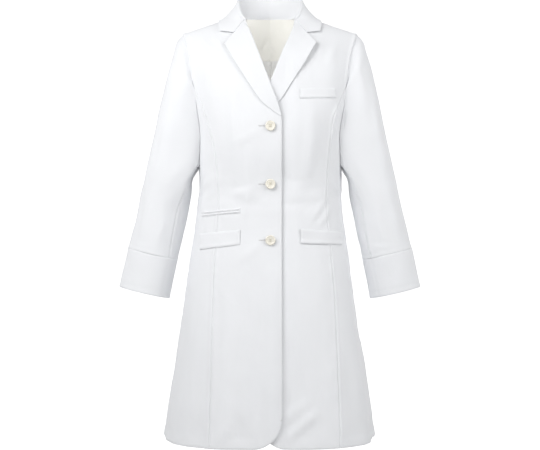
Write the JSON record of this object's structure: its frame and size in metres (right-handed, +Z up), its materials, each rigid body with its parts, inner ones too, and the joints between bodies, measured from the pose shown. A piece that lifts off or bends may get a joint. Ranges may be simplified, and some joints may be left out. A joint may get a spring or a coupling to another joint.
{
  "type": "laboratory coat",
  "caption": "Knee-length tailored laboratory coat with notched lapels, button front, welt pockets and set-in sleeves; worn over clothes to protect them in biology work.",
  "frame": {"origin": "centre plane of the body at the height of the side neck points, inside the neck opening, where a neck or a hanger carries the coat", "axes": "+Z up along the coat's length, -Y toward the wearer's front, +X toward the wearer's left"},
  "size_m": [0.6922, 0.3301, 1.0159],
  "materials": {
    "coat_cloth": "matte white cotton-rich drill",
    "facing_cloth": "matte off-white cloth, wrong side out",
    "pocketing": "plain off-white pocketing",
    "button": "ivory polyester, lightly polished",
    "sewing_thread": "twisted polyester thread"
  },
  "bodies": {
    "torso": {"left_back_panel": "coat_cloth", "right_back_panel": "coat_cloth", "left_side_back_panel": "coat_cloth", "right_side_back_panel": "coat_cloth", "back_neck_facing": "facing_cloth", "upper_collar": "coat_cloth", "under_collar": "coat_cloth"},
    "right_front": {"right_front_panel": "coat_cloth", "right_side_front_panel": "coat_cloth", "right_front_facing": "facing_cloth", "right_lapel": "coat_cloth", "right_pocket_welt": "coat_cloth", "right_pocket_bag": "pocketing", "ticket_pocket_upper_jet": "coat_cloth", "ticket_pocket_lower_jet": "coat_cloth", "ticket_pocket_bag": "pocketing"},
    "left_front": {"left_front_panel": "coat_cloth", "left_side_front_panel": "coat_cloth", "left_front_facing": "facing_cloth", "left_lapel": "coat_cloth", "left_pocket_welt": "coat_cloth", "left_pocket_bag": "pocketing", "chest_pocket_welt": "coat_cloth", "chest_pocket_bag": "pocketing", "button_top": "button", "button_middle": "button", "button_bottom": "button", "button_thread_top": "sewing_thread", "button_thread_middle": "sewing_thread", "button_thread_bottom": "sewing_thread"},
    "right_sleeve": {"right_top_sleeve": "coat_cloth", "right_under_sleeve": "coat_cloth", "right_cuff": "coat_cloth"},
    "left_sleeve": {"left_top_sleeve": "coat_cloth", "left_under_sleeve": "coat_cloth", "left_cuff": "coat_cloth"}
  },
  "joints": [
    {"name": "right_front_opening", "type": "hinge", "parent": "torso", "child": "right_front", "pos_m": [-0.161, 0, -0.4], "axis": [-0.1367, 0, -0.9906], "range_deg": [0, 60], "deforming": ["right_front_panel", "right_side_front_panel", "right_front_facing", "right_lapel", "right_pocket_welt", "right_pocket_bag", "ticket_pocket_upper_jet", "ticket_pocket_lower_jet", "ticket_pocket_bag"]},
    {"name": "left_front_opening", "type": "hinge", "parent": "torso", "child": "left_front", "pos_m": [0.161, 0, -0.4], "axis": [-0.1367, 0, 0.9906], "range_deg": [0, 36], "deforming": ["left_front_panel", "left_side_front_panel", "left_front_facing", "left_lapel", "left_pocket_welt", "left_pocket_bag", "chest_pocket_welt", "chest_pocket_bag"]},
    {"name": "right_shoulder_swing", "type": "hinge", "parent": "torso", "child": "right_sleeve", "pos_m": [-0.185, 0, -0.075], "axis": [0, 1, 0], "range_deg": [0, 60], "deforming": ["right_top_sleeve", "right_under_sleeve"]},
    {"name": "left_shoulder_swing", "type": "hinge", "parent": "torso", "child": "left_sleeve", "pos_m": [0.185, 0, -0.075], "axis": [0, -1, 0], "range_deg": [0, 60], "deforming": ["left_top_sleeve", "left_under_sleeve"]}
  ],
  "couplings": [
    {"joint": "left_front_opening", "follows": "right_front_opening", "ratio": 0.6}
  ]
}
